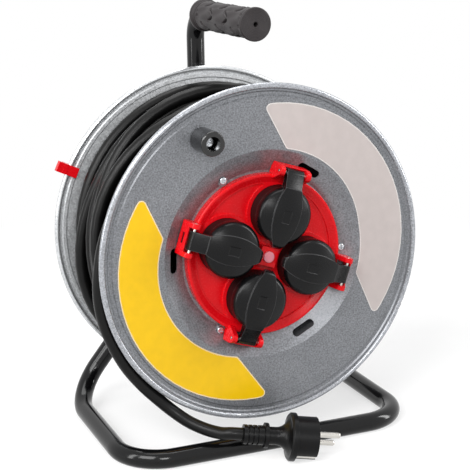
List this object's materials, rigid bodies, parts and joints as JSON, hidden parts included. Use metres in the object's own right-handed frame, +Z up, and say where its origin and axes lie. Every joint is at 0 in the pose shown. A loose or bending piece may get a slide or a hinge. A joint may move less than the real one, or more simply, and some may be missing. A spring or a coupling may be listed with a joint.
{
  "type": "extension cord reel",
  "caption": "Steel cord drum on a bent-tube stand with a rubber grip, lidded sockets in a red plate, a crank knob and a rubber cord with its plug.",
  "frame": {"origin": "on the floor, under the drum's axis, midway between the foremost and rearmost points without the free cord", "axes": "+Z up, the drum turns about Y, the sockets face -Y"},
  "size_m": [0.2878, 0.2302, 0.3672],
  "materials": {
    "black_tube": "gloss black powder coat",
    "grip_rubber": "matte dark grey rubber",
    "zinc_sheet": "galvanised sheet, fine sparkle",
    "zinc_hardware": "bright zinc plate",
    "red_plastic": "glossy red ABS",
    "black_lid": "satin black",
    "black_socket": "satin black",
    "black_plastic": "glossy black",
    "grey_plastic": "matte dark grey",
    "cream_nylon": "natural nylon",
    "pink_cap": "soft pink, slightly translucent",
    "contact_brass": "bare brass",
    "nickel": "nickel plate",
    "white_film": "off-white film, bare",
    "yellow_film": "yellow film, bare",
    "cord_rubber": "matte black rubber",
    "plug_rubber": "satin black rubber"
  },
  "bodies": {
    "frame": {"base_tube": "black_tube", "handle_tube": "black_tube", "grip": "grip_rubber", "axle": "zinc_hardware", "axle_spacer": "zinc_hardware", "axle_washers": "zinc_hardware", "axle_nuts": "zinc_hardware", "cord_last_turn": "cord_rubber", "cord_tail": "cord_rubber", "plug_body": "plug_rubber", "plug_insert": "grey_plastic", "plug_pins": "nickel", "plug_earth": "nickel"},
    "drum": {"front_flange": "zinc_sheet", "rear_flange": "zinc_sheet", "barrel": "zinc_sheet", "drum_hub": "zinc_sheet", "hub_rivets": "zinc_hardware", "hub_bushes": "cream_nylon", "tie_bolts": "zinc_hardware", "tie_nuts": "zinc_hardware", "socket_plate": "red_plastic", "socket_housing": "grey_plastic", "housing_screws": "zinc_hardware", "socket_1": "black_socket", "socket_2": "black_socket", "socket_3": "black_socket", "socket_4": "black_socket", "contact_sleeves": "contact_brass", "earth_clips": "contact_brass", "lid_pins": "nickel", "thermal_cutout": "grey_plastic", "terminal_block": "cream_nylon", "knob_screw": "zinc_hardware", "knob_nut": "zinc_hardware", "cord_clip": "red_plastic", "white_label": "white_film", "yellow_label": "yellow_film", "cord_gland": "grey_plastic", "cord_grommet": "grey_plastic", "inner_lead": "cord_rubber", "cord_core": "cord_rubber", "cord_winding": "cord_rubber"},
    "lid_1": {"lid_1": "black_lid"},
    "lid_2": {"lid_2": "black_lid"},
    "lid_3": {"lid_3": "black_lid"},
    "lid_4": {"lid_4": "black_lid"},
    "button": {"reset_button": "pink_cap"},
    "knob": {"crank_knob": "black_plastic"}
  },
  "joints": [
    {"name": "drum_spin", "type": "hinge", "parent": "frame", "child": "drum", "pos_m": [0, 0, 0.1655], "axis": [0, -1, 0], "continuous": true},
    {"name": "lid_1_hinge", "type": "hinge", "parent": "drum", "child": "lid_1", "pos_m": [0.0221, -0.08045, 0.2335], "axis": [-0.9511, 0, 0.309], "range_deg": [0, 100], "stiffness_Nm_per_rad": 0.012, "springref_deg": -34.38},
    {"name": "lid_2_hinge", "type": "hinge", "parent": "drum", "child": "lid_2", "pos_m": [-0.068, -0.08045, 0.1876], "axis": [-0.309, 0, -0.9511], "range_deg": [0, 100], "stiffness_Nm_per_rad": 0.012, "springref_deg": -34.38},
    {"name": "lid_3_hinge", "type": "hinge", "parent": "drum", "child": "lid_3", "pos_m": [-0.0221, -0.08045, 0.0975], "axis": [0.9511, 0, -0.309], "range_deg": [0, 100], "stiffness_Nm_per_rad": 0.012, "springref_deg": -34.38},
    {"name": "lid_4_hinge", "type": "hinge", "parent": "drum", "child": "lid_4", "pos_m": [0.068, -0.08045, 0.14341], "axis": [0.309, 0, 0.9511], "range_deg": [0, 100], "stiffness_Nm_per_rad": 0.012, "springref_deg": -34.38},
    {"name": "button_press", "type": "slide", "parent": "drum", "child": "button", "axis": [0, 1, 0], "range_m": [0, 0.002], "stiffness_N_per_m": 600, "springref_m": -0.002},
    {"name": "knob_spin", "type": "hinge", "parent": "drum", "child": "knob", "pos_m": [-0.05375, -0.07945, 0.2666], "axis": [0, -1, 0], "continuous": true}
  ]
}
